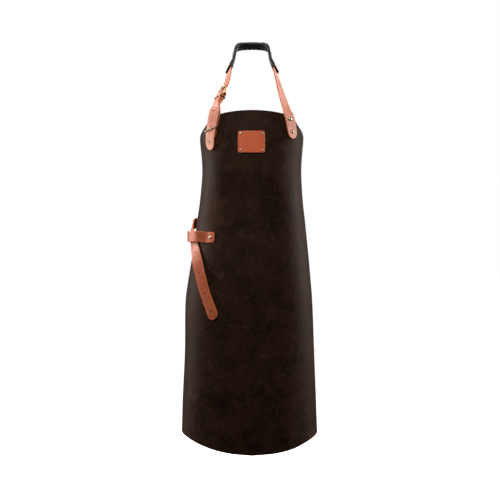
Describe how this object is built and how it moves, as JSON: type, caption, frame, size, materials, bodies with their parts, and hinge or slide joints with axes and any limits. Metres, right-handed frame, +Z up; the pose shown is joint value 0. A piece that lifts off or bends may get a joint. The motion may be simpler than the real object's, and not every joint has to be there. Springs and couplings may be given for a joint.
{
  "type": "leather apron",
  "caption": "Long leather work apron in its worn form, with an adjustable neck strap, padded nape, riveted label patch and a waist strap held by a side tab.",
  "frame": {"origin": "under the middle of the neck pad, where it lies on the nape", "axes": "+Z up, the front faces -Y, +X is the wearer's left"},
  "size_m": [0.3524, 0.2448, 1.0647],
  "materials": {
    "body_leather": "matt dark brown waxed leather",
    "strap_leather": "smooth pinkish tan strap leather",
    "tail_leather": "smooth reddish brown strap leather",
    "label_leather": "smooth orange tan leather",
    "pad_leather": "soft black leather",
    "aged_brass": "aged brass",
    "nickel": "nickel plated"
  },
  "bodies": {
    "root": {"apron_body": "body_leather", "neck_strap": "strap_leather", "neck_pad": "pad_leather", "neck_buckle_strap": "strap_leather", "neck_buckle": "aged_brass", "neck_buckle_pin": "aged_brass", "neck_keeper": "aged_brass", "neck_ring": "nickel", "neck_rivet_right_1": "nickel", "neck_rivet_right_2": "nickel", "neck_rivet_left_1": "nickel", "neck_rivet_left_2": "nickel", "label_patch": "label_leather", "label_rivet_1": "nickel", "label_rivet_2": "nickel", "label_rivet_3": "nickel", "label_rivet_4": "nickel", "waist_tab": "tail_leather", "tab_rivet_1": "nickel", "tab_rivet_2": "nickel", "waist_strap": "tail_leather", "waist_rivet_right_1": "nickel", "waist_rivet_right_2": "nickel", "waist_buckle_strap": "tail_leather", "waist_buckle": "aged_brass", "waist_rivet_left_1": "nickel", "waist_rivet_left_2": "nickel"}
  },
  "joints": []
}
